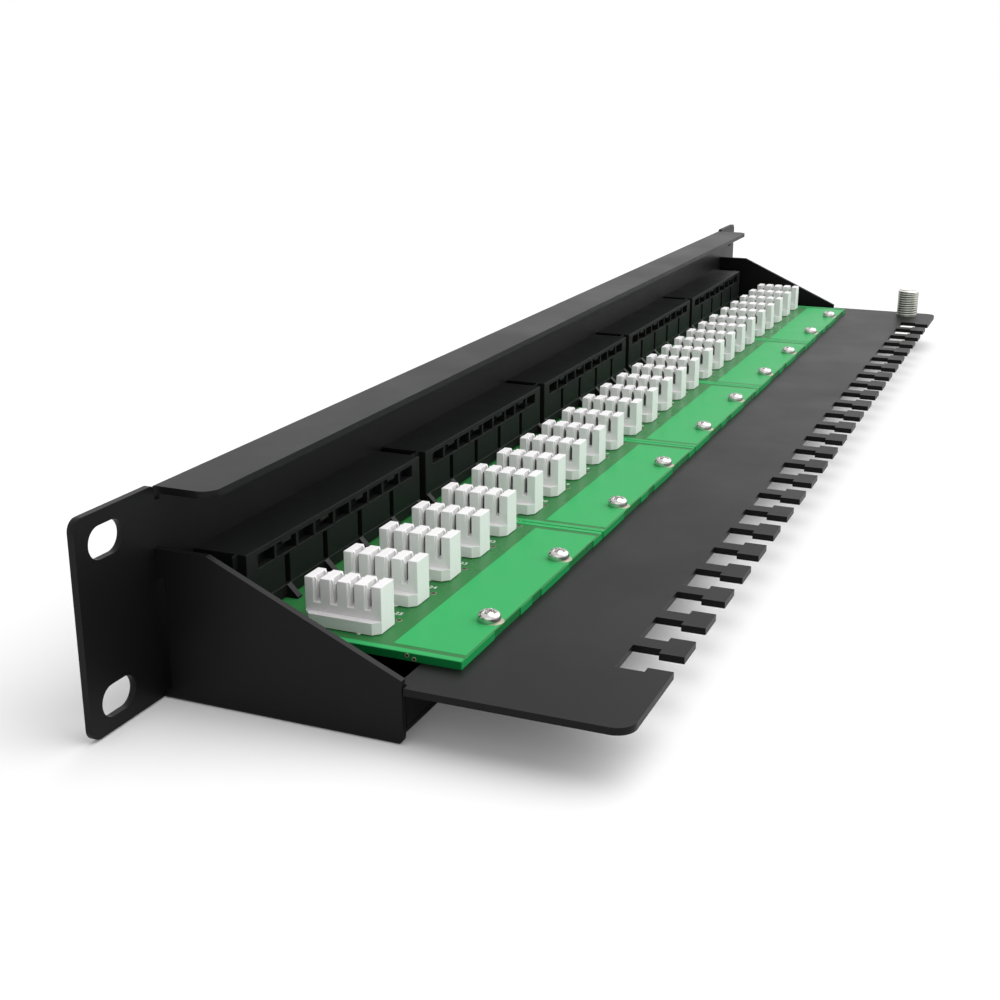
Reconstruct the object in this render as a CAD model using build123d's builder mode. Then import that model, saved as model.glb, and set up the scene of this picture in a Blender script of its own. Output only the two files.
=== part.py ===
from build123d import *
import os

os.makedirs("parts", exist_ok=True)

# The origin is the middle of the rear face of the rack ears. X runs along the
# panel, Y points rearward from that face and Z is up. Lengths are millimetres.

# Rows along the panel: five gangs of five ports, one port over one punch-down block
gang_count = 5
gang_pitch = 82.87
ports_per_gang = 5
port_pitch = 16.1
block_pitch = 16.25
row_half = gang_count * gang_pitch / 2
gang_centres = [gang_pitch * (i - (gang_count - 1) / 2) for i in range(gang_count)]
port_offsets = [port_pitch * (i - (ports_per_gang - 1) / 2) for i in range(ports_per_gang)]
block_offsets = [block_pitch * (i - (ports_per_gang - 1) / 2) for i in range(ports_per_gang)]

# Folded steel sheet, the same for the panel and for the chassis behind it
sheet = 1.5
bend_r = 0.4
bend_slack = 0.01
side_margin = 11.475
chassis_half = row_half + side_margin

# Front panel: one rack unit high, 482.6 wide, with a stiffening flange along its top
ear_reach = 22.65
panel_half = chassis_half + ear_reach
panel_height = 44.0
ear_corner_r = 2.5
ear_hole_inset = 8.75
ear_hole_pitch = 31.75
ear_slot_length = 10.3
ear_slot_height = 6.55
flange_setback = 2.9
flange_half = chassis_half - flange_setback
flange_drop = 0.6
flange_reach = 11.9
flange_corner_r = 3.5
flange_bend_r = 0.5
bend_relief_width = 1.55
bend_relief_depth = 3.1
ear_shoulder_r = 1.0
panel_top = panel_height / 2
flange_top = panel_top - flange_drop

# Rear chassis: closed floor, upturned side brackets, rear wall and wire tray
chassis_drop = 0.4
floor_z = -panel_height / 2 - chassis_drop
floor_depth = 53.4
tray_height = 11.9
tray_top = floor_z + tray_height
tray_depth = 44.4
tray_rear = floor_depth + tray_depth
tray_corner_r = 4.0
wall_bend_r = 3.5
corner_gap = 0.3
bracket_height = 31.9
bracket_rear_rise = 1.38
bracket_level = 11.9
bracket_top_r = 3.0
bracket_corner_r = 1.6
notch_depth = 1.9
notch_foot = 2.4
notch_head = 6.0
floor_relief = 0.8
floor_tab = 4.0
bracket_bend_r = 0.8

# T-shaped slots in the tray's rear edge, one for each port
tie_pitch = 15.69
tie_count = gang_count * ports_per_gang
tie_mouth = 7.4
tie_mouth_depth = 5.2
tie_inner = 11.4
tie_inner_depth = 5.95
tie_centres = [tie_pitch * (i - (tie_count - 1) / 2) for i in range(tie_count)]

# Circuit boards, one under each gang
board_thickness = 1.6
board_gap = 0.37
board_length = gang_pitch - board_gap
board_front = 1.0
board_overlap = 6.75
board_rear = floor_depth + board_overlap
board_top = tray_top + board_thickness

# Board screws, M2.5 pan heads tapped into the tray
screw_pitch = 40.06
screw_setback = 3.55
screw_y = floor_depth + screw_setback
screw_r = 1.25
screw_sides = 8
screw_head_r = 2.35
screw_head_sides = 12
screw_head_height = 1.95
screw_length = 5.0
tapped_clearance = 0.05
board_hole_clearance = 0.2

# Jack housings, each with five modular sockets
housing_gap = 3.57
housing_length = gang_pitch - housing_gap
housing_depth = 12.25
housing_height = 13.75
housing_lift = 0.45
housing_z0 = board_top + housing_lift
housing_top = housing_z0 + housing_height
nose_width = 13.4
nose_inset = 0.35
nose_z0 = housing_z0 + nose_inset
nose_top = housing_top - nose_inset
panel_clearance = 0.1
socket_width = 11.8
socket_height = 6.8
socket_floor = 2.0
socket_back = 9.2
latch_width = 6.0
latch_depth = 1.3
channel_width = 4.5
channel_height = 0.75
channel_front = 0.8
socket_z0 = housing_z0 + socket_floor
socket_top = socket_z0 + socket_height
channel_top = socket_top + channel_height

# Rear face of a housing: blind pockets, slots, wedge ribs and end tabs
pocket_width = 6.4
pocket_height = 2.95
pocket_drop = 1.25
pocket_depth = 2.6
notched_width = 7.8
notched_tab_width = 3.8
notched_tab_drop = 0.65
rib_slot_width = 2.0
rib_slot_drop = 4.7
rib_width = 1.8
rib_root = 2.3
rib_reach = 2.75
rib_tip_height = 0.4
rib_height = 2.95
rib_end_inset = 1.2
foot_step = 0.15
end_tab_gap = 0.13
end_tab_thickness = 0.4
end_tab_y = 10.0
end_tab_height = 3.2

# Spring wires of the sockets, four in each
wire_count = 4
wire_pitch = 1.016
wire_width = 0.4
wire_thickness = 0.35
wire_seat = 0.9
wire_front_clearance = 0.3
wire_tip_setback = 1.4
wire_tip_drop = 2.2
wire_offsets = [wire_pitch * (i - (wire_count - 1) / 2) for i in range(wire_count)]

# Punch-down blocks, one for each port
block_setback = 21.8
block_y = floor_depth - block_setback
block_length = 17.3
block_width = 5.64
block_height = 9.95
block_base_width = 8.57
block_base_height = 2.8
block_base_cut = 1.48
slot_count = 4
slot_pitch = 3.87
slot_width = 1.41
slot_depth = 5.29
slot_shift = 0.1
block_top = board_top + block_height
slot_floor = block_top - slot_depth
slot_ys = [block_y - slot_shift + slot_pitch * (i - (slot_count - 1) / 2) for i in range(slot_count)]

# Splicing blades standing in the slots
blade_thickness = 0.5
blade_clearance = 0.05
blade_height = 3.9
blade_notch = 1.3

# Ground stud, M8, pressed into the tray's far corner from below
stud_end_inset = 5.85
stud_rear_inset = 11.5
stud_x = -(chassis_half - stud_end_inset)
stud_y = tray_rear - stud_rear_inset
stud_d = 8.0
stud_height = 11.3
stud_tip_chamfer = 0.9
stud_shoulder_d = 8.4
stud_flange_d = 11.0
stud_flange_thickness = 0.8


def at_height(z):
    return Plane.XY.offset(z)


def across(x):
    return Plane.YZ.offset(x)


# Front panel
with BuildPart() as front_panel:
    # Upright web folded rearward into the flange
    with BuildSketch(across(-flange_half)):
        with BuildLine():
            Polyline(
                (-sheet, -panel_top),
                (-sheet, flange_top),
                (flange_reach, flange_top),
                (flange_reach, flange_top - sheet),
                (0, flange_top - sheet),
                (0, -panel_top),
                close=True,
            )
        make_face()
    extrude(amount=2 * flange_half)
    outer_bend = front_panel.edges().filter_by(Axis.X).sort_by_distance((0, -sheet, flange_top))[0]
    fillet(outer_bend, radius=flange_bend_r)
    flange_corners = front_panel.edges().filter_by(Axis.Z).group_by(Axis.Y)[-1]
    fillet(flange_corners, radius=flange_corner_r)

    # Rack ears at both ends, each parted from the flange by a bend relief
    with BuildSketch(Plane.XZ):
        for side in (-1, 1):
            with Locations((side * (flange_half + panel_half) / 2, 0)):
                ear = Rectangle(panel_half - flange_half, panel_height)
            with Locations((side * (flange_half + bend_relief_width / 2), panel_top - bend_relief_depth / 2)):
                Rectangle(bend_relief_width, bend_relief_depth, mode=Mode.SUBTRACT)
    extrude(amount=sheet)
    corner_edges = front_panel.edges().filter_by(Axis.Y)
    ear_corners = corner_edges.filter_by(lambda edge: abs(edge.center().X) > panel_half - ear_corner_r)
    fillet(ear_corners, radius=ear_corner_r)
    shoulder_x = flange_half + bend_relief_width
    for side in (-1, 1):
        shoulder = front_panel.edges().filter_by(Axis.Y).sort_by_distance((side * shoulder_x, 0, panel_top))[0]
        fillet(shoulder, radius=ear_shoulder_r)

    # Rack slots and the windows of the sockets
    with BuildSketch(Plane.XZ):
        with GridLocations(2 * (panel_half - ear_hole_inset), ear_hole_pitch, 2, 2):
            SlotOverall(ear_slot_length, ear_slot_height)
        for gang_x in gang_centres:
            for port_x in port_offsets:
                with Locations((gang_x + port_x, (nose_z0 + nose_top) / 2)):
                    Rectangle(
                        nose_width + 2 * panel_clearance,
                        nose_top - nose_z0 + 2 * panel_clearance,
                    )
    extrude(amount=sheet, mode=Mode.SUBTRACT)
front_panel.part.label = "front_panel"
export_step(front_panel.part, "parts/front_panel.step")


# Rear chassis
with BuildPart() as rear_chassis:
    # Floor with its ends folded up into the side brackets
    bracket_inner = chassis_half - sheet
    bracket_top = floor_z + bracket_height
    with BuildSketch(Plane.XZ):
        with BuildLine():
            Polyline(
                (-chassis_half, bracket_top),
                (-chassis_half, floor_z),
                (chassis_half, floor_z),
                (chassis_half, bracket_top),
                (bracket_inner, bracket_top),
                (bracket_inner, floor_z + sheet),
                (-bracket_inner, floor_z + sheet),
                (-bracket_inner, bracket_top),
                close=True,
            )
        channel = make_face()
        fillet(channel.vertices().group_by(Axis.Y)[0], radius=bracket_bend_r)
    extrude(amount=-floor_depth)

    # Side outline of the brackets: level top, slope to the rear, notch behind the panel
    bracket_rear_z = tray_top + bracket_rear_rise
    with BuildSketch(across(-chassis_half)):
        with BuildLine():
            Polyline(
                (0, floor_z),
                (floor_depth, floor_z),
                (floor_depth, bracket_rear_z),
                (bracket_level, bracket_top),
                (0, bracket_top),
                (0, bracket_top - notch_head),
                (notch_depth, bracket_top - notch_head),
                (notch_depth, floor_z + notch_foot),
                (0, floor_z + notch_foot),
                close=True,
            )
        outline = make_face()
        corners = outline.vertices()
        fillet(corners.sort_by_distance((floor_depth, floor_z))[0], radius=bracket_corner_r)
        fillet(corners.sort_by_distance((bracket_level, bracket_top))[0], radius=bracket_top_r)
    extrude(amount=2 * chassis_half, mode=Mode.INTERSECT)

    # Front edge of the floor stands clear of the panel between two end tabs
    with BuildSketch(at_height(floor_z)):
        with Locations((0, floor_relief / 2)):
            Rectangle(2 * (bracket_inner - floor_tab), floor_relief)
        with Locations((0, floor_depth - wall_bend_r / 2)):
            Rectangle(2 * bracket_inner, wall_bend_r)
    extrude(amount=sheet, mode=Mode.SUBTRACT)

    # Rear wall, folded up from the floor and rearward into the tray
    wall_foot = floor_depth - wall_bend_r - corner_gap
    with BuildSketch(across(-(bracket_inner - corner_gap))):
        with BuildLine():
            Polyline(
                (wall_foot, floor_z),
                (floor_depth, floor_z),
                (floor_depth, tray_top - sheet),
                (floor_depth + corner_gap, tray_top - sheet),
                (floor_depth + corner_gap, tray_top),
                (floor_depth - sheet, tray_top),
                (floor_depth - sheet, floor_z + sheet),
                (wall_foot, floor_z + sheet),
                close=True,
            )
        wall = make_face()
        turns = wall.vertices()
        fillet(turns.sort_by_distance((floor_depth, floor_z))[0], radius=wall_bend_r)
        fillet(turns.sort_by_distance((floor_depth - sheet, tray_top))[0], radius=bend_r + sheet)
        fillet(
            turns.sort_by_distance((floor_depth - sheet, floor_z + sheet))[0],
            radius=wall_bend_r - sheet - bend_slack,
        )
    extrude(amount=2 * (bracket_inner - corner_gap))

    # Wire tray at full width
    with BuildSketch(at_height(tray_top - sheet)):
        with Locations((0, (floor_depth + corner_gap + tray_rear) / 2)):
            tray = Rectangle(2 * chassis_half, tray_rear - floor_depth - corner_gap)
        fillet(tray.vertices().group_by(Axis.Y)[-1], radius=tray_corner_r)

        # Tie slots, wide inside and narrow at the edge, leaving T-shaped fingers
        for tie_x in tie_centres:
            with Locations((tie_x, tray_rear - tie_mouth_depth / 2)):
                Rectangle(tie_mouth, tie_mouth_depth, mode=Mode.SUBTRACT)
            with Locations((tie_x, tray_rear - tie_mouth_depth - tie_inner_depth / 2)):
                Rectangle(tie_inner, tie_inner_depth, mode=Mode.SUBTRACT)

        # Hole of the ground stud
        with Locations((stud_x, stud_y)):
            Circle(stud_shoulder_d / 2, mode=Mode.SUBTRACT)
    extrude(amount=sheet)

    # Tapped screw holes, drawn with the screws' own few sides
    with BuildSketch(at_height(tray_top - sheet)):
        for gang_x in gang_centres:
            with Locations((gang_x, screw_y)):
                with GridLocations(screw_pitch, 0, 2, 1):
                    RegularPolygon(screw_r + tapped_clearance, screw_sides)
    extrude(amount=sheet, mode=Mode.SUBTRACT)
rear_chassis.part.label = "rear_chassis"
export_step(rear_chassis.part, "parts/rear_chassis.step")


# Jack housings
for gang, gang_x in enumerate(gang_centres, start=1):
    housing_left = gang_x - housing_length / 2
    with BuildPart() as jack_housing:
        with BuildSketch(Plane.XZ):
            with Locations((gang_x, (housing_z0 + housing_top) / 2)):
                Rectangle(housing_length, housing_height)
        extrude(amount=-housing_depth)

        # Thin tab at each end, towards the neighbouring housing
        with BuildSketch(at_height(housing_top - end_tab_height)):
            with Locations((gang_x, end_tab_y)):
                Rectangle(gang_pitch - end_tab_gap, end_tab_thickness)
        extrude(amount=end_tab_height)

        # Step along the foot of the rear face
        foot_height = board_top + rib_height - housing_z0
        with BuildSketch(Plane.XZ.offset(-housing_depth)):
            with Locations((gang_x, housing_z0 + foot_height / 2)):
                Rectangle(housing_length, foot_height)
        extrude(amount=-foot_step)

        # Wedge ribs that stand on the board behind the housing
        rib_centres = [gang_x + (a + b) / 2 for a, b in zip(port_offsets, port_offsets[1:])]
        rib_centres += [housing_left + rib_end_inset, housing_left + housing_length - rib_end_inset]
        for rib_x in rib_centres:
            with BuildSketch(across(rib_x - rib_width / 2)):
                with BuildLine():
                    Polyline(
                        (housing_depth - rib_root, board_top),
                        (housing_depth + rib_reach, board_top),
                        (housing_depth + rib_reach, board_top + rib_tip_height),
                        (housing_depth + foot_step, board_top + rib_height),
                        (housing_depth - rib_root, board_top + rib_height),
                        close=True,
                    )
                make_face()
        extrude(amount=rib_width)

        # Noses that fill the windows of the panel
        with BuildSketch(Plane.XZ):
            for port_x in port_offsets:
                with Locations((gang_x + port_x, (nose_z0 + nose_top) / 2)):
                    Rectangle(nose_width, nose_top - nose_z0)
        extrude(amount=sheet)

        # Sockets with their latch recess, open at the front
        with BuildSketch(Plane.XZ.offset(sheet)):
            for port_x in port_offsets:
                with Locations((gang_x + port_x, (socket_z0 + socket_top) / 2)):
                    Rectangle(socket_width, socket_height)
                with Locations((gang_x + port_x, socket_z0 - latch_depth / 2)):
                    Rectangle(latch_width, latch_depth)
        extrude(amount=-(sheet + socket_back), mode=Mode.SUBTRACT)

        # Wire channel over each socket
        with BuildSketch(at_height(socket_top)):
            for port_x in port_offsets:
                with Locations((gang_x + port_x, (channel_front + socket_back) / 2)):
                    Rectangle(channel_width, socket_back - channel_front)
        extrude(amount=channel_height, mode=Mode.SUBTRACT)

        # Rear face: a pocket behind each socket, and a notched pocket over a slot between
        pocket_top = housing_top - pocket_drop
        pocket_z = pocket_top - pocket_height / 2
        rib_slot_top = housing_top - rib_slot_drop
        rib_slot_foot = board_top + rib_height
        with BuildSketch(Plane.XZ.offset(-housing_depth - foot_step)):
            for port_x in port_offsets:
                with Locations((gang_x + port_x, pocket_z)):
                    Rectangle(pocket_width, pocket_height)
            for a, b in zip(port_offsets, port_offsets[1:]):
                middle = gang_x + (a + b) / 2
                with Locations((middle, pocket_z)):
                    Rectangle(notched_width, pocket_height)
                with Locations((middle, pocket_top - notched_tab_drop / 2)):
                    Rectangle(notched_tab_width, notched_tab_drop, mode=Mode.SUBTRACT)
                with Locations((middle, (rib_slot_top + rib_slot_foot) / 2)):
                    Rectangle(rib_slot_width, rib_slot_top - rib_slot_foot)
        extrude(amount=foot_step + pocket_depth, mode=Mode.SUBTRACT)
    name = f"jack_housing_{gang}"
    jack_housing.part.label = name
    export_step(jack_housing.part, f"parts/{name}.step")

    # Spring wires of this housing's sockets, seated under the roofs of their channels
    front_y = channel_front + wire_front_clearance
    tip_y = socket_back - wire_tip_setback
    tip_z = socket_top - wire_tip_drop
    with BuildPart() as jack_contacts:
        for port_x in port_offsets:
            for wire_x in wire_offsets:
                with BuildSketch(across(gang_x + port_x + wire_x - wire_width / 2)):
                    with BuildLine():
                        Polyline(
                            (front_y, channel_top),
                            (tip_y, tip_z),
                            (tip_y, tip_z + wire_thickness),
                            (front_y + wire_seat, channel_top),
                            close=True,
                        )
                    make_face()
        extrude(amount=wire_width)
    name = f"jack_contacts_{gang}"
    jack_contacts.part.label = name
    export_step(jack_contacts.part, f"parts/{name}.step")

    # Circuit board under this gang
    with BuildPart() as circuit_board:
        with BuildSketch(at_height(tray_top)):
            with Locations((gang_x, (board_front + board_rear) / 2)):
                Rectangle(board_length, board_rear - board_front)
            with Locations((gang_x, screw_y)):
                with GridLocations(screw_pitch, 0, 2, 1):
                    RegularPolygon(screw_r + board_hole_clearance, screw_sides, mode=Mode.SUBTRACT)
        extrude(amount=board_thickness)
    name = f"circuit_board_{gang}"
    circuit_board.part.label = name
    export_step(circuit_board.part, f"parts/{name}.step")

    # Splicing blades of this gang, standing on the floors of the block slots
    blade_half = slot_width / 2 - blade_clearance
    with BuildPart() as idc_contacts:
        for block_x in block_offsets:
            for slot_y in slot_ys:
                with BuildSketch(across(gang_x + block_x - blade_thickness / 2)):
                    with BuildLine():
                        Polyline(
                            (slot_y - blade_half, slot_floor),
                            (slot_y + blade_half, slot_floor),
                            (slot_y + blade_half, slot_floor + blade_height),
                            (slot_y, slot_floor + blade_height - blade_notch),
                            (slot_y - blade_half, slot_floor + blade_height),
                            close=True,
                        )
                    make_face()
        extrude(amount=blade_thickness)
    name = f"idc_contacts_{gang}"
    idc_contacts.part.label = name
    export_step(idc_contacts.part, f"parts/{name}.step")


# Punch-down blocks, numbered from the far end of the row
block_xs = [gang_x + block_x for gang_x in gang_centres for block_x in block_offsets]
for number, block_x in enumerate(block_xs, start=1):
    with BuildPart() as idc_block:
        # Wide base whose cut corners run out at the corners of the body
        with BuildSketch(at_height(board_top)):
            half_x = block_base_width / 2
            half_y = block_length / 2
            with BuildLine():
                Polyline(
                    (block_x - half_x, block_y - half_y + block_base_cut),
                    (block_x - block_width / 2, block_y - half_y),
                    (block_x + block_width / 2, block_y - half_y),
                    (block_x + half_x, block_y - half_y + block_base_cut),
                    (block_x + half_x, block_y + half_y - block_base_cut),
                    (block_x + block_width / 2, block_y + half_y),
                    (block_x - block_width / 2, block_y + half_y),
                    (block_x - half_x, block_y + half_y - block_base_cut),
                    close=True,
                )
            make_face()
        extrude(amount=block_base_height)

        # Body, slotted for four wires
        with BuildSketch(at_height(board_top + block_base_height)):
            with Locations((block_x, block_y)):
                Rectangle(block_width, block_length)
        extrude(amount=block_height - block_base_height)
        with BuildSketch(at_height(block_top)):
            for slot_y in slot_ys:
                with Locations((block_x, slot_y)):
                    Rectangle(block_width, slot_width)
        extrude(amount=-slot_depth, mode=Mode.SUBTRACT)
    name = f"idc_block_{number:02d}"
    idc_block.part.label = name
    export_step(idc_block.part, f"parts/{name}.step")


# Board screws, two to each board
with BuildPart() as board_screws:
    with BuildSketch(at_height(board_top)):
        for gang_x in gang_centres:
            with Locations((gang_x, screw_y)):
                with GridLocations(screw_pitch, 0, 2, 1):
                    RegularPolygon(screw_head_r, screw_head_sides)
    extrude(amount=screw_head_height)
    with BuildSketch(at_height(board_top)):
        for gang_x in gang_centres:
            with Locations((gang_x, screw_y)):
                with GridLocations(screw_pitch, 0, 2, 1):
                    RegularPolygon(screw_r, screw_sides)
    extrude(amount=-screw_length)
board_screws.part.label = "board_screws"
export_step(board_screws.part, "parts/board_screws.step")


# Ground stud
with BuildPart() as ground_stud:
    with BuildSketch(at_height(tray_top - sheet)):
        with Locations((stud_x, stud_y)):
            Circle(stud_flange_d / 2)
    extrude(amount=-stud_flange_thickness)
    with BuildSketch(at_height(tray_top - sheet)):
        with Locations((stud_x, stud_y)):
            Circle(stud_shoulder_d / 2)
    extrude(amount=sheet)
    with BuildSketch(at_height(tray_top)):
        with Locations((stud_x, stud_y)):
            Circle(stud_d / 2)
    extrude(amount=stud_height)
    stud_tip = ground_stud.edges().filter_by(GeomType.CIRCLE).group_by(Axis.Z)[-1]
    chamfer(stud_tip, length=stud_tip_chamfer)
ground_stud.part.label = "ground_stud"
export_step(ground_stud.part, "parts/ground_stud.step")
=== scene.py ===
import bpy
import numpy as np
from mathutils import Matrix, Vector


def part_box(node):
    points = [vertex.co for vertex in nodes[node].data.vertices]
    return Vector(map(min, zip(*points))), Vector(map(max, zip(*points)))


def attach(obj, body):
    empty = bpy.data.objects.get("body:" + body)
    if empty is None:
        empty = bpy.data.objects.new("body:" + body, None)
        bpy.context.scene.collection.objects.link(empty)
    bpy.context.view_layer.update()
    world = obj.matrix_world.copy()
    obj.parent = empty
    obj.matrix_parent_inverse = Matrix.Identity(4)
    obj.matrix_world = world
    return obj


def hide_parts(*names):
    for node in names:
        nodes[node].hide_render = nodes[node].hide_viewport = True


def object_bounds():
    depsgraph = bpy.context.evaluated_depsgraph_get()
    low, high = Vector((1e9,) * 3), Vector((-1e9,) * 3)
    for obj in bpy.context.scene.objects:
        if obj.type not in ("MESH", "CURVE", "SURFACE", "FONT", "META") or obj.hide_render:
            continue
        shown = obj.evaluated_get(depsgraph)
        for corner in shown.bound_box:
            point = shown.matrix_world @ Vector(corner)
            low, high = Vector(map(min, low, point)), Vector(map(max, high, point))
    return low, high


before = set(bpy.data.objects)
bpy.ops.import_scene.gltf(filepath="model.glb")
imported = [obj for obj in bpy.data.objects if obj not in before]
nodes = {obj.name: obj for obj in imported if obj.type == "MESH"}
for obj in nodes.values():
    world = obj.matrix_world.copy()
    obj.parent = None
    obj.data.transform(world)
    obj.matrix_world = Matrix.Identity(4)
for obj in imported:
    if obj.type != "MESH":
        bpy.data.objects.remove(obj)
cad_box = [list(corner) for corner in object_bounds()]

# Lengths are millimetres in the part's own frame, and MM turns them into metres.
MM = 0.001


def low_high(node):
    """A node's lowest and highest corner in millimetres."""
    low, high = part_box(node)
    return np.array(low) / MM, np.array(high) / MM


def middle_x(box):
    """The middle of a box along X."""
    return (box[0][0] + box[1][0]) / 2


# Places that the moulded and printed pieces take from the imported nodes. A board lies on the tray.
BOARD_LOW, BOARD_HIGH = low_high("circuit_board_3")
BOARD_TOP = BOARD_HIGH[2]
BOARD_REAR = BOARD_HIGH[1]
TRAY_TOP = BOARD_LOW[2]
GANG_BOXES = [low_high(f"circuit_board_{gang}") for gang in range(1, 6)]
BLOCK_BOXES = [low_high(f"idc_block_{number:02d}") for number in range(1, 26)]
SCREW_LOW, SCREW_HIGH = low_high("board_screws")
STUD_LOW, STUD_HIGH = low_high("ground_stud")


def new_material(name):
    """An empty node material; returns the material, its nodes and its links."""
    mat = bpy.data.materials.new(name)
    mat.use_nodes = True
    tree = mat.node_tree
    tree.nodes.clear()
    return mat, tree.nodes, tree.links


def set_inputs(node, **values):
    """Writes constants on a node's own sockets; an underscore in a key stands for a space."""
    for key, value in values.items():
        node.inputs[key.replace("_", " ")].default_value = value
    return node


def grain_group():
    """Fine surface grain on Object coordinates: fine noise gives a bump height, and a slower noise gives a value
    that shifts colour and roughness over the surface."""
    tree = bpy.data.node_groups.new("fine_grain", "ShaderNodeTree")
    face = tree.interface
    for label, value in (("Grain Size", 0.5), ("Patch Size", 20.0)):
        socket = face.new_socket(label, in_out="INPUT", socket_type="NodeSocketFloat")
        socket.default_value = value
    face.new_socket("Height", in_out="OUTPUT", socket_type="NodeSocketFloat")
    face.new_socket("Patch", in_out="OUTPUT", socket_type="NodeSocketFloat")
    ins = tree.nodes.new("NodeGroupInput")
    outs = tree.nodes.new("NodeGroupOutput")
    coords = tree.nodes.new("ShaderNodeTexCoord")
    for label, result, detail in (("Grain Size", "Height", 2.0), ("Patch Size", "Patch", 3.0)):
        scale = tree.nodes.new("ShaderNodeMath")
        scale.operation = "DIVIDE"
        scale.inputs[0].default_value = 1000.0
        tree.links.new(ins.outputs[label], scale.inputs[1])
        noise = tree.nodes.new("ShaderNodeTexNoise")
        set_inputs(noise, Detail=detail, Roughness=0.55)
        tree.links.new(coords.outputs["Object"], noise.inputs["Vector"])
        tree.links.new(scale.outputs[0], noise.inputs["Scale"])
        tree.links.new(noise.outputs["Fac"], outs.inputs[result])
    return tree


def facing_up_group():
    """Mask that is 1 on faces that look up and 0 on the sides, from the surface's own normal."""
    tree = bpy.data.node_groups.new("facing_up", "ShaderNodeTree")
    tree.interface.new_socket("Up", in_out="OUTPUT", socket_type="NodeSocketFloat")
    outs = tree.nodes.new("NodeGroupOutput")
    shape = tree.nodes.new("ShaderNodeNewGeometry")
    split = tree.nodes.new("ShaderNodeSeparateXYZ")
    step = tree.nodes.new("ShaderNodeMapRange")
    set_inputs(step, From_Min=0.4, From_Max=0.6, To_Min=0.0, To_Max=1.0)
    tree.links.new(shape.outputs["Normal"], split.inputs[0])
    tree.links.new(split.outputs["Z"], step.inputs["Value"])
    tree.links.new(step.outputs["Result"], outs.inputs["Up"])
    return tree


GRAIN = grain_group()
FACING_UP = facing_up_group()


def grained(name, dark, light, rough, grain=0.5, patch=20.0, bump=0.15, bump_mm=0.02, side=None, **more):
    """A Principled finish whose colour runs from dark to light and whose roughness runs over a pair of values,
    both after the patch noise, with the grain noise as bump. A side colour covers the faces that don't look up;
    on the stud that side colour is painted shade."""
    mat, new, link = new_material(name)
    out = new.new("ShaderNodeOutputMaterial")
    shader = set_inputs(new.new("ShaderNodeBsdfPrincipled"), **more)
    group = new.new("ShaderNodeGroup")
    group.node_tree = GRAIN
    set_inputs(group, Grain_Size=grain, Patch_Size=patch)
    ramp = set_inputs(new.new("ShaderNodeMapRange"), From_Min=0.35, From_Max=0.65,
                      To_Min=rough[0], To_Max=rough[1])
    tint = new.new("ShaderNodeMix")
    tint.data_type = "RGBA"
    tint.inputs["A"].default_value = (*dark, 1)
    tint.inputs["B"].default_value = (*light, 1)
    lump = set_inputs(new.new("ShaderNodeBump"), Strength=bump, Distance=bump_mm * MM)
    link.new(group.outputs["Patch"], ramp.inputs["Value"])
    link.new(group.outputs["Patch"], tint.inputs["Factor"])
    link.new(group.outputs["Height"], lump.inputs["Height"])
    colour = tint.outputs["Result"]
    if side:
        up = new.new("ShaderNodeGroup")
        up.node_tree = FACING_UP
        by_face = new.new("ShaderNodeMix")
        by_face.data_type = "RGBA"
        by_face.inputs["A"].default_value = (*side, 1)
        link.new(up.outputs["Up"], by_face.inputs["Factor"])
        link.new(colour, by_face.inputs["B"])
        colour = by_face.outputs["Result"]
    link.new(colour, shader.inputs["Base Color"])
    link.new(ramp.outputs["Result"], shader.inputs["Roughness"])
    link.new(lump.outputs["Normal"], shader.inputs["Normal"])
    link.new(shader.outputs["BSDF"], out.inputs["Surface"])
    return mat


POWDER = grained("powder_coat_black", (0.0045, 0.0046, 0.0046), (0.006, 0.0061, 0.0061), (0.38, 0.45),
                 grain=0.32, patch=30, bump=0.3, bump_mm=0.02, Specular_IOR_Level=0.133)
HOUSING = grained("housing_black", (0.007, 0.0075, 0.0075), (0.0095, 0.01, 0.01), (0.38, 0.46),
                  grain=0.6, patch=12, bump=0.1, bump_mm=0.01, Specular_IOR_Level=0.13)
MASK_BARE = grained("solder_mask_bare", (0.026, 0.17, 0.045), (0.034, 0.195, 0.055), (0.26, 0.34),
                    grain=0.5, patch=9, bump=0.12, bump_mm=0.008, side=(0.006, 0.19, 0.045),
                    Specular_IOR_Level=0.1)
MASK_COPPER = grained("solder_mask_over_copper", (0.035, 0.395, 0.115), (0.044, 0.43, 0.13), (0.28, 0.36),
                      grain=0.4, patch=14, bump=0.12, bump_mm=0.006, side=(0.03, 0.36, 0.1),
                      Specular_IOR_Level=0.045)
EDGE_GREEN = grained("laminate_edge", (0.01, 0.29, 0.075), (0.015, 0.34, 0.09), (0.4, 0.5),
                     grain=0.2, patch=3, bump=0.3, bump_mm=0.01, Specular_IOR_Level=0.1)
WHITE = grained("block_white", (0.885, 0.868, 0.874), (0.915, 0.898, 0.904), (0.42, 0.5),
                grain=0.4, patch=6, bump=0.1, bump_mm=0.008, Specular_IOR_Level=0.3)
WIRE = grained("spring_wire", (0.75, 0.5, 0.18), (0.85, 0.6, 0.25), (0.2, 0.3),
               grain=0.3, patch=3, bump=0.05, bump_mm=0.004, Metallic=1.0)
# Painted shade: the blades' tin is drawn nearly black to stand in for the shade inside the blocks' slots.
SLOT_SHADED_TIN = grained("tinned_blade_painted_shade", (0.1, 0.097, 0.09), (0.15, 0.147, 0.138), (0.34, 0.46),
                 grain=0.25, patch=2, bump=0.1, bump_mm=0.004, Metallic=1.0)
ZINC = grained("zinc_steel", (0.5, 0.49, 0.47), (0.58, 0.57, 0.55), (0.14, 0.22),
               grain=0.25, patch=2.5, bump=0.08, bump_mm=0.003, Metallic=1.0)
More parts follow.
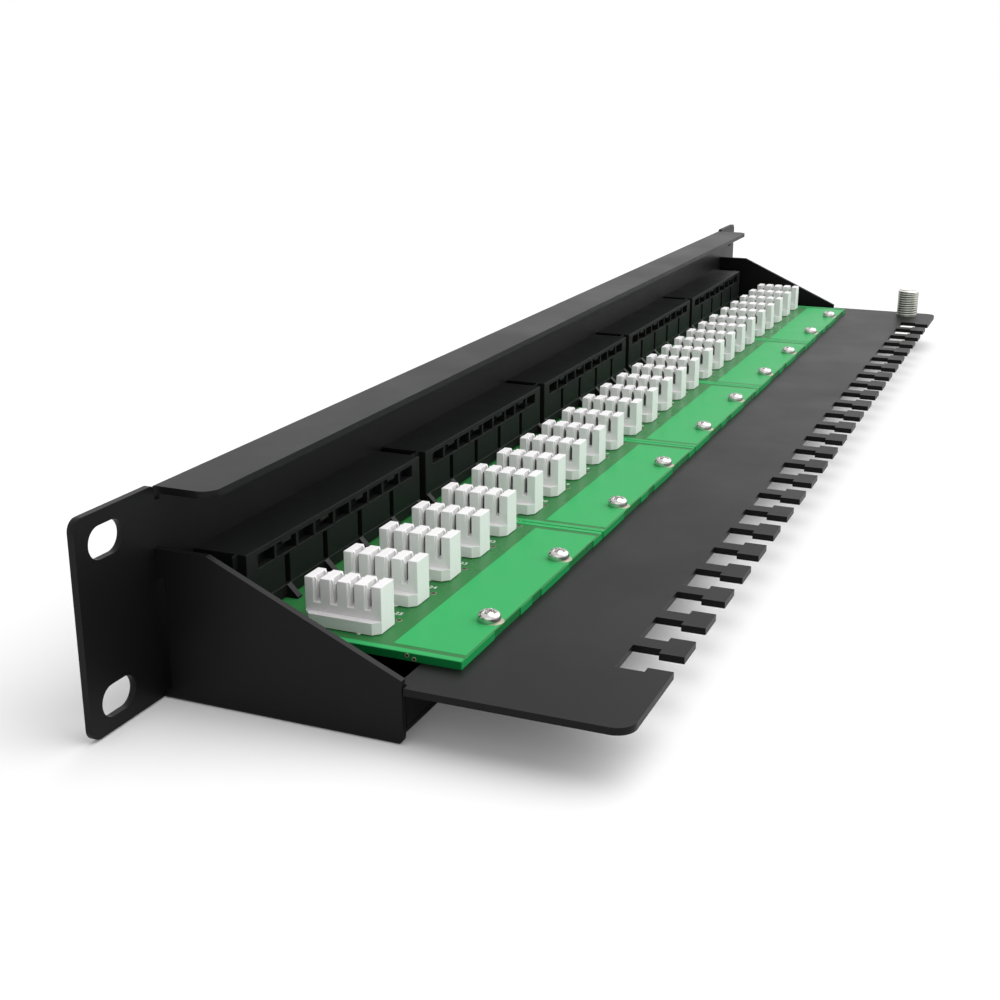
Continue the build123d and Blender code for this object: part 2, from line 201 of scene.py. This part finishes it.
# Painted shade: the stud's faces that don't look up are drawn far darker than its tops, for the shade and dark
# reflections on its sides.
STUD_ZINC_SHADED_SIDES = grained("stud_zinc_painted_side_shade", (0.78, 0.77, 0.72), (0.9, 0.89, 0.85), (0.3, 0.4),
                    grain=0.5, patch=3, bump=0.2, bump_mm=0.01, side=(0.33, 0.34, 0.3), Metallic=1.0)
PAD_TIN = grained("tinned_pad", (0.42, 0.4, 0.3), (0.5, 0.47, 0.36), (0.35, 0.45),
                  grain=0.3, patch=1.5, bump=0.15, bump_mm=0.005, Metallic=0.6)
# Painted shade: a near-black finish for the flat discs that stand where the holes' dark insides would be.
HOLE_SHADE = grained("painted_hole_shade", (0.02, 0.01, 0.008), (0.035, 0.015, 0.012), (0.6, 0.7),
                    grain=0.3, patch=1, bump=0.1, bump_mm=0.005)
INK = grained("white_ink", (0.72, 0.76, 0.72), (0.82, 0.86, 0.82), (0.5, 0.6),
              grain=0.2, patch=1.5, bump=0.2, bump_mm=0.004)

# Each finish by the first part of the names of the nodes that wear it
FINISH = {
    "front_panel": POWDER,
    "rear_chassis": POWDER,
    "jack_housing": HOUSING,
    "jack_contacts": WIRE,
    "circuit_board": MASK_BARE,
    "idc_block": WHITE,
    "idc_contacts": SLOT_SHADED_TIN,
    "board_screws": ZINC,
    "ground_stud": STUD_ZINC_SHADED_SIDES,
}
for name, node in nodes.items():
    for stem, finish in FINISH.items():
        if name.startswith(stem):
            node.data.materials.clear()
            node.data.materials.append(finish)


def carried(rings):
    """A closed profile carried along a path: rings[i, j] is point j of the profile at station i. Neighbouring
    stations are joined by four-sided faces that look outwards where the profile turns left round the path's
    direction, and the first and last station are closed."""
    rings = np.asarray(rings, float)
    stations, points, _ = rings.shape
    start = np.arange(stations * points).reshape(stations, points)
    ahead = np.roll(start, -1, axis=1)
    walls = np.stack((start[:-1], ahead[:-1], ahead[1:], start[1:]), axis=-1).reshape(-1, 4)
    return rings.reshape(-1, 3), [*walls.tolist(), start[0, ::-1].tolist(), start[-1].tolist()]


def piece(name, shells, finish, replaces=(), smooth=False):
    """One object from closed shells, each its points in millimetres and its faces."""
    points, faces, shift = [], [], 0
    for shell_points, shell_faces in shells:
        points.append(np.asarray(shell_points) * MM)
        faces += [[i + shift for i in face] for face in shell_faces]
        shift += len(shell_points)
    mesh = bpy.data.meshes.new(name)
    mesh.from_pydata(np.concatenate(points).tolist(), [], faces)
    if smooth:
        mesh.shade_smooth()
        mesh.set_sharp_from_angle(angle=np.radians(35))
    mesh.materials.append(finish)
    made = bpy.data.objects.new(name, mesh)
    bpy.context.scene.collection.objects.link(made)
    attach(made, "root")
    if replaces:
        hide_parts(*replaces)
    return made


def moved(shell, shift):
    """The same shell somewhere else."""
    return np.asarray(shell[0]) + np.asarray(shift, float), shell[1]


def rounded_slab(x0, x1, y0, y1, z0, z1, corner, edge, turns=5):
    """A flat slab with round corners and a chamfer along its top edge: an outline of straight sides and quarter
    arcs, carried up from z0 to z1, and drawn in by the chamfer on its last step."""
    angle = np.concatenate([np.linspace(0, np.pi / 2, turns) + k * np.pi / 2 for k in range(4)])
    sign_x = np.repeat((1, -1, -1, 1), turns)
    sign_y = np.repeat((1, 1, -1, -1), turns)
    half_x = (x1 - x0) / 2 - corner
    half_y = (y1 - y0) / 2 - corner
    rings = []
    for z, inset in ((z0, 0), (z1 - edge, 0), (z1, edge)):
        x = (x0 + x1) / 2 + sign_x * half_x + (corner - inset) * np.cos(angle)
        y = (y0 + y1) / 2 + sign_y * half_y + (corner - inset) * np.sin(angle)
        rings.append(np.stack((x, y, np.full_like(x, z)), axis=-1))
    return carried(rings)


def turned(radii, heights, centre, turns):
    """A solid of revolution standing at centre. Each ring of the profile has its own radius and height, which may
    also be rows of values that change round the ring."""
    angle = np.arange(turns) * 2 * np.pi / turns
    radii = np.broadcast_to(np.asarray(radii, float), (turns, np.shape(radii)[-1])).T
    heights = np.broadcast_to(np.asarray(heights, float), (turns, np.shape(heights)[-1])).T
    rings = np.stack((radii * np.cos(angle), radii * np.sin(angle), heights), axis=-1)
    return carried(rings + np.asarray(centre, float))


def threaded(radius, depth, pitch, low, high, centre, turns=40, steps=8, tip=0.0):
    """A threaded rod: its radius is lowered by a triangle wave of height over pitch minus angle over one turn, so
    that the ridge climbs one pitch in each turn. The wave fades out at the foot, and the tip is drawn in by a
    chamfer."""
    heights = np.linspace(low, high, int((high - low) / pitch * steps) + 1)
    angle = np.arange(turns)[:, None] / turns
    phase = (heights / pitch - angle) % 1.0
    wave = 1 - np.abs(2 * phase - 1)
    fade = np.clip((heights - low) / pitch, 0, 1)
    radii = radius - depth * wave * fade
    chamfer = radius - np.clip(heights - (high - tip), 0, None)
    radii = np.minimum(radii, chamfer)
    return turned(radii, heights, centre, turns)


# A turned shell closes in a small flat of this radius round its axis
POLE_R = 0.02

# Where a shell's own X, Y and Z go when its axis points along another direction
AXIS_ORDER = {"z": (0, 1, 2), "x": (2, 0, 1), "y": (1, 2, 0)}


def button(radius, height, centre, axis="z", turns=24):
    """A thin round plate standing on centre: a low profile with a drawn-in upper edge, turned round its axis."""
    radii = (POLE_R, radius, radius, radius - height, POLE_R)
    points, faces = turned(radii, (0, 0, height / 2, height, height), (0, 0, 0), turns)
    return points[:, AXIS_ORDER[axis]] + np.asarray(centre, float), faces


def washer(inner, outer, height, centre, axis="z", turns=24):
    """A thin flat ring standing on centre: a closed profile between two radii, turned all the way round its
    axis."""
    radii = np.array((inner, outer, outer, outer - height, inner))
    heights = np.broadcast_to((0, 0, height / 2, height, height), (turns, len(radii)))
    angle = np.arange(turns)[:, None] * 2 * np.pi / turns
    points = np.stack((radii * np.cos(angle), radii * np.sin(angle), heights), axis=-1).reshape(-1, 3)
    start = np.arange(turns * len(radii)).reshape(turns, -1)
    next_turn = np.roll(start, -1, axis=0)
    corners = (start, np.roll(start, -1, axis=1), np.roll(next_turn, -1, axis=1), next_turn)
    faces = np.stack(corners, axis=-1).reshape(-1, 4)[:, ::-1]
    return points[:, AXIS_ORDER[axis]] + np.asarray(centre, float), faces.tolist()


# Punch-down blocks: a stepped base, a body, and five fingers with guide ribs on the walls of the four slots
BLOCK_HALF_X = 2.82
BLOCK_HALF_Y = 8.65
BLOCK_TOP = 9.95
SLOT_FLOOR = 4.66
BLOCK_EDGE = 0.08
SLOT_MIDDLES = (-5.905, -2.035, 1.835, 5.705)
SLOT_HALF = 0.79
GUIDE_REACH = 0.45
HOLDER_REACH = 0.1
HOLDER_TOP = 8.4
CATCH_REACH = 0.3
ROUND_FOOT = 9.2
FOOT_R = 0.42
FOOT_HEIGHT = 0.22
FOOT_PLACES = ((4.1, -4.2), (4.1, 4.2), (-4.1, -4.2), (-4.1, 4.2))

# The base's outlines from below upwards: half sizes along X and Y, corner cuts along X and Y, and height
BASE_OUTLINES = (
    (4.225, 8.59, 1.45, 1.46, 0.16),
    (4.285, 8.65, 1.465, 1.48, 0.22),
    (4.285, 8.65, 1.465, 1.48, 2.66),
    (4.22, 8.65, 1.4, 1.4, 2.72),
)
BODY_FOOT = 2.8


def octagon(half_x, half_y, cut_x, cut_y, z):
    """A rectangle with cut corners at one height, anticlockwise from above."""
    long_x, short_x = half_x, half_x - cut_x
    long_y, short_y = half_y, half_y - cut_y
    x = np.array((long_x, long_x, short_x, -short_x, -long_x, -long_x, -short_x, short_x))
    y = np.array((-short_y, short_y, long_y, long_y, short_y, -short_y, -long_y, -long_y))
    return np.stack((x, y, np.full(8, float(z))), axis=-1)


def block_body():
    """Base and body under the slots: outlines with cut corners carried up, with a soft slope between the two."""
    body = (BLOCK_HALF_X, BLOCK_HALF_Y, BLOCK_EDGE, BLOCK_EDGE)
    base = [octagon(*outline) for outline in BASE_OUTLINES]
    return carried([*base, octagon(*body, BODY_FOOT), octagon(*body, SLOT_FLOOR)])


def finger(low_y, high_y, ribs_high, ribs_low):
    """One finger as an upright outline carried along X. Its two side walls are height fields: a wall's own place
    plus, for each rib, its reach times a plateau over X. A guide also fades out in a quarter round towards the top,
    and a holder ends below it. The ends and the top are drawn in by a small chamfer."""
    stations = np.array((-BLOCK_HALF_X, -2.74, -2.32, -2.26, -1.78, -1.72, -1.38, -1.3, -0.8, -0.74, -0.58,
                         0.74, 0.8, 1.72, 1.78, 2.26, 2.32, 2.74, BLOCK_HALF_X))
    levels = np.array((SLOT_FLOOR, HOLDER_TOP, 8.5, ROUND_FOOT, 9.36, 9.52, 9.66, 9.78, 9.87, BLOCK_TOP))
    end = ((np.abs(stations) == BLOCK_HALF_X) * BLOCK_EDGE)[:, None]
    cap = (levels == BLOCK_TOP) * BLOCK_EDGE
    climb = np.clip(levels - ROUND_FOOT, 0, None) / (BLOCK_TOP - ROUND_FOOT)
    round_top = np.sqrt(np.clip(1 - climb ** 2, 0, 1))
    short = levels <= HOLDER_TOP

    def plateau(low, high):
        return ((stations > low) & (stations < high))[:, None]

    guides = (plateau(1.75, 2.3) | plateau(-2.3, -1.75)) * round_top * GUIDE_REACH
    holder = plateau(-0.78, 0.78) * short * HOLDER_REACH
    catch = plateau(-1.35, -0.6) * CATCH_REACH
    high_wall = high_y + ribs_high * np.maximum(guides, holder) - end - cap
    low_wall = low_y - ribs_low * np.maximum(catch, holder) + end + cap
    heights = np.broadcast_to(levels, high_wall.shape)
    walls = np.concatenate((high_wall, low_wall[:, ::-1]), axis=1)
    tops = np.concatenate((heights, heights[:, ::-1]), axis=1)
    tops = tops - (tops == BLOCK_TOP) * end
    along = np.broadcast_to(stations[:, None], walls.shape)
    return carried(np.stack((along, walls, tops), axis=-1))


def block_shells():
    """Body and fingers of one block about its own centre, standing on the board."""
    edges = [-BLOCK_HALF_Y]
    for middle in SLOT_MIDDLES:
        edges += [middle - SLOT_HALF, middle + SLOT_HALF]
    edges.append(BLOCK_HALF_Y)
    shells = [block_body()]
    last = len(SLOT_MIDDLES)
    for number, (low_y, high_y) in enumerate(zip(edges[::2], edges[1::2])):
        shells.append(finger(low_y, high_y, ribs_high=number < last, ribs_low=number > 0))
    for x, y in FOOT_PLACES:
        shells.append(button(FOOT_R, FOOT_HEIGHT, (x, y, 0), turns=12))
    return shells


template = block_shells()
for number, (low, high) in enumerate(BLOCK_BOXES, start=1):
    centre = ((low[0] + high[0]) / 2, (low[1] + high[1]) / 2, BOARD_TOP)
    piece(f"punch_block_{number:02d}", [moved(shell, centre) for shell in template], WHITE,
          replaces=[f"idc_block_{number:02d}"])

# Board screws: domed heads with a cross recess over a threaded shank, each on a bare pad of the board
HEAD_R = 2.45
HEAD_SIDE = 1.05
HEAD_HEIGHT = 2.4
CROSS_REACH = 1.55
CROSS_HALF = 0.42
CROSS_FLOOR = 1.1
CROSS_TURN = np.radians(10)
CROSS_SLOPE = 0.1 + 0.12 * (HEAD_HEIGHT - CROSS_FLOOR)
SCREW_Y = (SCREW_LOW[1] + SCREW_HIGH[1]) / 2
SCREW_HALF_PITCH = 20.03
SHANK_R = 1.25
SHANK_DEPTH = 0.2
SHANK_PITCH = 0.45
PAD_R = 2.4
PAD_RISE = 0.05
PAD_SHIFT = 0.75


def screw_head(centre, turns=96):
    """A pan head: a flat underside, a short side and a dome whose height follows half an ellipse over the radius.
    The cross recess lowers the dome to its floor wherever a point lies inside either arm, with sloping sides."""
    radii = np.concatenate(([POLE_R, HEAD_R - 0.05, HEAD_R, HEAD_R], np.linspace(HEAD_R, POLE_R, 30)[1:]))
    dome = HEAD_SIDE + (HEAD_HEIGHT - HEAD_SIDE) * np.sqrt(np.clip(1 - (radii / HEAD_R) ** 2, 0, 1))
    dome[:4] = (0, 0, 0.05, HEAD_SIDE)
    angle = np.arange(turns)[:, None] * 2 * np.pi / turns + CROSS_TURN
    across_arm = np.abs(radii * np.sin(angle))
    along_arm = np.abs(radii * np.cos(angle))
    inside = np.zeros_like(across_arm)
    for wide, far in ((across_arm, along_arm), (along_arm, across_arm)):
        within_width = np.clip((CROSS_HALF - wide) / CROSS_SLOPE + 0.5, 0, 1)
        within_reach = np.clip((CROSS_REACH - far) / CROSS_SLOPE + 0.5, 0, 1)
        inside = np.maximum(inside, within_width * within_reach)
    inside[:, :4] = 0
    heights = dome - inside * np.clip(dome - CROSS_FLOOR, 0, None)
    return turned(radii, heights, centre, turns)


screws, pads = [], []
for box in GANG_BOXES:
    for side in (-1, 1):
        x = middle_x(box) + side * SCREW_HALF_PITCH
        screws.append(screw_head((x, SCREW_Y, BOARD_TOP)))
        screws.append(threaded(SHANK_R, SHANK_DEPTH, SHANK_PITCH, SCREW_LOW[2], BOARD_TOP + 0.1, (x, SCREW_Y, 0),
                               turns=24, steps=6))
        pads.append(button(PAD_R, PAD_RISE, (x, SCREW_Y + PAD_SHIFT, BOARD_TOP), turns=40))
piece("cross_head_screws", screws, ZINC, replaces=["board_screws"], smooth=True)
piece("screw_pads", pads, PAD_TIN)

# Ground stud: a threaded rod with a hollow tip, a plain shoulder in the tray and a flange under it. The rod is
# drawn as wide as the photo shows it, and the shoulder fills the tray's hole.
STUD_X, STUD_Y = ((STUD_LOW + STUD_HIGH) / 2)[:2]
STUD_FOOT, STUD_TOP = STUD_LOW[2], STUD_HIGH[2]
FLANGE_R = (STUD_HIGH[0] - STUD_LOW[0]) / 2
SHOULDER_R = 4.19
ROD_R = 4.4
ROD_DEPTH = 0.2
ROD_PITCH = 1.0
SHEET = 1.5


def stud_shells():
    """Flange, shoulder and threaded rod on one axis. The rod's tip goes down again into a small hollow."""
    centre = (STUD_X, STUD_Y, 0)
    foot = TRAY_TOP - SHEET
    flange = turned((POLE_R, FLANGE_R - 0.15, FLANGE_R, FLANGE_R, FLANGE_R - 0.1, POLE_R),
                    (STUD_FOOT, STUD_FOOT, STUD_FOOT + 0.15, foot - 0.05, foot, foot), centre, 48)
    shoulder = turned((POLE_R, SHOULDER_R, SHOULDER_R, SHOULDER_R - 0.14, POLE_R),
                      (foot - 0.1, foot - 0.1, TRAY_TOP - 0.1, TRAY_TOP, TRAY_TOP), centre, 48)
    rod = threaded(ROD_R, ROD_DEPTH, ROD_PITCH, TRAY_TOP, STUD_TOP - 0.25, centre, turns=64, steps=10, tip=0.5)
    rim = turned((POLE_R, 3.85, 3.8, 2.3, 1.7, POLE_R),
                 (STUD_TOP - 1.4, STUD_TOP - 1.4, STUD_TOP, STUD_TOP, STUD_TOP - 0.8, STUD_TOP - 0.8), centre, 48)
    return [flange, shoulder, rod, rim]


piece("threaded_stud", stud_shells(), STUD_ZINC_SHADED_SIDES, replaces=["ground_stud"], smooth=True)

# Printed circuit boards: copper areas raised under the green mask, ringed holes filled by flat discs of painted
# shade, and tabs at the rear edge.
# Spans, holes and marks along X are counted from the middle of their board or of their block.
SINK = 0.02
PLANE_FRONT, PLANE_REAR = 44.2, 59.8
PLANE_MARGIN = 3.3
PLANE_RISE = 0.04
STRIP_WIDTH = 1.7
STRIP_RISE = 0.12
TAB_SPANS = ((25.1, 41.1), (4.8, 11.2), (-18.1, -0.7), (-41.1, -34.5))
TAB_REACH = 0.15
END_HOLES = ((48.75, 0.54), (50.25, 1.1))
REAR_HOLES = ((-9.4, 0.54), (-7.9, 1.06))
MARK_HOLE_X, MARK_HOLE_Y = -5.4, 39.95
MARK_HOLE_R = 0.58

planes, tabs, rings, hole_shade_discs = [], [], [], []
for box in GANG_BOXES:
    left, right = box[0][0], box[1][0]
    middle = middle_x(box)
    planes.append(rounded_slab(left + PLANE_MARGIN, right - PLANE_MARGIN, PLANE_FRONT, PLANE_REAR,
                               BOARD_TOP - SINK, BOARD_TOP + PLANE_RISE, 0.3, 0.03))
    for x in (left + SINK, right - SINK - STRIP_WIDTH):
        planes.append(rounded_slab(x, x + STRIP_WIDTH, BOARD_LOW[1] + 0.3, BOARD_REAR - 0.05,
                                   BOARD_TOP - SINK, BOARD_TOP + STRIP_RISE, 0.15, 0.1))
    for start, stop in TAB_SPANS:
        tabs.append(rounded_slab(middle + start, middle + stop, BOARD_REAR - 0.3, BOARD_REAR + TAB_REACH,
                                 BOARD_LOW[2] + 0.01, BOARD_TOP - 0.01, 0.02, 0.02))
    for y, depth in END_HOLES:
        rings.append(washer(0.28, 0.5, 0.05, (right, y, BOARD_TOP - depth), axis="x"))
        hole_shade_discs.append(button(0.28, 0.03, (right, y, BOARD_TOP - depth), axis="x"))
    for x, depth in REAR_HOLES:
        rings.append(washer(0.26, 0.48, 0.05, (middle + x, BOARD_REAR, BOARD_TOP - depth), axis="y"))
        hole_shade_discs.append(button(0.26, 0.03, (middle + x, BOARD_REAR, BOARD_TOP - depth), axis="y"))
for box in BLOCK_BOXES:
    place = (middle_x(box) + MARK_HOLE_X, MARK_HOLE_Y, BOARD_TOP)
    rings.append(washer(MARK_HOLE_R, MARK_HOLE_R + 0.1, 0.03, place))
    hole_shade_discs.append(button(MARK_HOLE_R, 0.02, place))
piece("copper_areas", planes, MASK_COPPER)
piece("board_tabs", tabs, EDGE_GREEN)
piece("pad_rings", rings, PAD_TIN)
# Flat near-black discs of painted shade fill the holes where their dark insides would be.
piece("painted_hole_shade_discs", hole_shade_discs, HOLE_SHADE)


def printed_number(text, size, thickness):
    """Flat printed digits as a mesh: points in the text's own plane, thickened by the curve's own extrusion."""
    curve = bpy.data.curves.new("digits", "FONT")
    curve.body = text
    curve.size = size
    curve.extrude = thickness / 2
    curve.resolution_u = 3
    curve.align_x = "CENTER"
    lettering = bpy.data.objects.new("digits", curve)
    bpy.context.scene.collection.objects.link(lettering)
    bpy.context.view_layer.update()
    mesh = bpy.data.meshes.new_from_object(lettering.evaluated_get(bpy.context.evaluated_depsgraph_get()))
    points = np.empty(len(mesh.vertices) * 3)
    mesh.vertices.foreach_get("co", points)
    faces = [list(face.vertices) for face in mesh.polygons]
    bpy.data.objects.remove(lettering)
    bpy.data.curves.remove(curve)
    bpy.data.meshes.remove(mesh)
    return points.reshape(-1, 3), faces


# A number beside each block, read from the panel's -X end
INK_THICKNESS = 0.04
BOARD_NUMBER_SIZE = 1.9
BOARD_NUMBER_X, BOARD_NUMBER_Y = -7.9, 38.35
board_numbers = []
for number, box in enumerate(BLOCK_BOXES, start=1):
    points, faces = printed_number(str(number), BOARD_NUMBER_SIZE, INK_THICKNESS)
    along, across, out = points.T
    placed = np.stack((middle_x(box) + BOARD_NUMBER_X - across, BOARD_NUMBER_Y + along,
                       BOARD_TOP + INK_THICKNESS / 2 + out), axis=-1)
    board_numbers.append((placed, faces))
piece("port_numbers", board_numbers, INK)

# The same numbers on the front, over the sockets: the text's plane stands upright and looks along -Y
PORTS_PER_GANG = 5
PORT_PITCH = 16.1
FRONT_NUMBER_SIZE = 3.0
FRONT_NUMBER_FOOT = low_high("jack_housing_3")[1][2] + 1.3
FRONT_Y = cad_box[0][1] / MM
front_numbers = []
for gang, box in enumerate(GANG_BOXES):
    for port in range(PORTS_PER_GANG):
        points, faces = printed_number(str(PORTS_PER_GANG * gang + port + 1), FRONT_NUMBER_SIZE, INK_THICKNESS)
        along, across, out = points.T
        x = middle_x(box) + PORT_PITCH * (port - (PORTS_PER_GANG - 1) / 2)
        placed = np.stack((x + along, FRONT_Y + INK_THICKNESS / 4 - out, FRONT_NUMBER_FOOT + across), axis=-1)
        front_numbers.append((placed, faces))
piece("front_numbers", front_numbers, INK)

# Small bevels soften the folded sheets' and mouldings' edges, once each mesh's own points are joined
SOFT_WIDTHS = {"front_panel": 0.22, "rear_chassis": 0.22, **{f"jack_housing_{n}": 0.1 for n in range(1, 6)}}
for name, width in SOFT_WIDTHS.items():
    weld = nodes[name].modifiers.new("weld", "WELD")
    weld.merge_threshold = 0.01 * MM
    soft_edge = nodes[name].modifiers.new("soft_edge", "BEVEL")
    soft_edge.width = width * MM
    soft_edge.segments = 2
    soft_edge.limit_method = "ANGLE"
    soft_edge.angle_limit = np.radians(40)


def white_seen(name, colour, lift):
    """A pale matt floor: what the camera sees is lifted by a little plain light."""
    mat, new, link = new_material(name)
    out = new.new("ShaderNodeOutputMaterial")
    matt = set_inputs(new.new("ShaderNodeBsdfDiffuse"), Color=(*colour, 1))
    glow = set_inputs(new.new("ShaderNodeEmission"), Color=(1, 1, 1, 1))
    path = new.new("ShaderNodeLightPath")
    gain = new.new("ShaderNodeMath")
    gain.operation = "MULTIPLY"
    gain.inputs[1].default_value = lift
    both = new.new("ShaderNodeAddShader")
    link.new(path.outputs["Is Camera Ray"], gain.inputs[0])
    link.new(gain.outputs[0], glow.inputs["Strength"])
    link.new(matt.outputs["BSDF"], both.inputs[0])
    link.new(glow.outputs["Emission"], both.inputs[1])
    link.new(both.outputs["Shader"], out.inputs["Surface"])
    return mat


# The floor lies under the part's lowest point and reaches this many metres each way
FLOOR_REACH = 4.0
FLOOR_WHITE = (0.9, 0.9, 0.9)
FLOOR_LIFT = 0.08
floor_z = cad_box[0][2]
floor_mesh = bpy.data.meshes.new("floor")
floor_mesh.from_pydata(
    [(-FLOOR_REACH, -FLOOR_REACH, floor_z), (FLOOR_REACH, -FLOOR_REACH, floor_z),
     (FLOOR_REACH, FLOOR_REACH, floor_z), (-FLOOR_REACH, FLOOR_REACH, floor_z)], [], [(0, 1, 2, 3)])
floor_mesh.materials.append(white_seen("floor_white", FLOOR_WHITE, FLOOR_LIFT))
floor = bpy.data.objects.new("floor", floor_mesh)
bpy.context.scene.collection.objects.link(floor)

# Even sky light for matt surfaces, and a plain white surround for the camera, for reflections and for what passes
# through
AMBIENT = 0.44
world = bpy.data.worlds.new("studio")
bpy.context.scene.world = world
world.use_nodes = True
sky = world.node_tree
sky.nodes.clear()
sky_out = sky.nodes.new("ShaderNodeOutputWorld")
ambient = set_inputs(sky.nodes.new("ShaderNodeBackground"), Color=(1, 1, 1, 1), Strength=AMBIENT)
backdrop = set_inputs(sky.nodes.new("ShaderNodeBackground"), Color=(1, 1, 1, 1), Strength=1.0)
rays = sky.nodes.new("ShaderNodeLightPath")
seen, seen_any = sky.nodes.new("ShaderNodeMath"), sky.nodes.new("ShaderNodeMath")
seen.operation = seen_any.operation = "MAXIMUM"
sky_mix = sky.nodes.new("ShaderNodeMixShader")
sky.links.new(rays.outputs["Is Camera Ray"], seen.inputs[0])
sky.links.new(rays.outputs["Is Glossy Ray"], seen.inputs[1])
sky.links.new(seen.outputs[0], seen_any.inputs[0])
sky.links.new(rays.outputs["Is Transmission Ray"], seen_any.inputs[1])
sky.links.new(seen_any.outputs[0], sky_mix.inputs[0])
sky.links.new(ambient.outputs[0], sky_mix.inputs[1])
sky.links.new(backdrop.outputs[0], sky_mix.inputs[2])
sky.links.new(sky_mix.outputs[0], sky_out.inputs["Surface"])


def facing(axis):
    """A turn that points an object's own Z along an axis, with its X level."""
    axis = np.array(axis, float) / np.linalg.norm(axis)
    side = np.cross((0.0, 0.0, 1.0), axis)
    side /= np.linalg.norm(side)
    return Matrix([list(row) for row in np.column_stack((side, np.cross(axis, side), axis))]).to_4x4()


def broad_sun(name, towards, strength, width):
    """A wide even light from one direction: strength is the share of plain white that it gives a facing surface,
    and width the angle in degrees that it is seen under."""
    lamp = bpy.data.lights.new(name, "SUN")
    lamp.energy = strength * np.pi
    lamp.angle = np.radians(width)
    hung = bpy.data.objects.new(name, lamp)
    hung.matrix_world = facing(towards)
    bpy.context.scene.collection.objects.link(hung)


broad_sun("key", (-0.45, 0.5, 0.84), 0.86, 84)
broad_sun("fill", (1.0, 0.25, 0.45), 0.1, 60)

# The camera stands where the photograph was taken from, solved from the rack sizes and the panel's straight edges.
# Its place is in millimetres, its three axes are in the part's frame, and its lens is in pixels of the photograph.
CAMERA_PLACE = (433.5135, 163.69, 102.9894)
CAMERA_RIGHT = (-0.3886917, 0.9213673, 0.0010487)
CAMERA_UP = (-0.2797658, -0.1191074, 0.9526513)
CAMERA_BACK = (0.8778667, 0.3699943, 0.3040631)
LENS_PIXELS = 1426.1695
PICTURE_PIXELS = 1000
SENSOR_WIDTH = 36.0
camera = bpy.data.cameras.new("camera")
camera.sensor_width = SENSOR_WIDTH
camera.lens = LENS_PIXELS * SENSOR_WIDTH / PICTURE_PIXELS
camera.clip_start = 0.01
camera.clip_end = 20
viewer = bpy.data.objects.new("camera", camera)
turn = Matrix([list(row) for row in np.column_stack((CAMERA_RIGHT, CAMERA_UP, CAMERA_BACK))]).to_4x4()
viewer.matrix_world = Matrix.Translation([v * MM for v in CAMERA_PLACE]) @ turn
bpy.context.scene.collection.objects.link(viewer)
bpy.context.scene.camera = viewer
bpy.context.scene.view_settings.view_transform = "Standard"
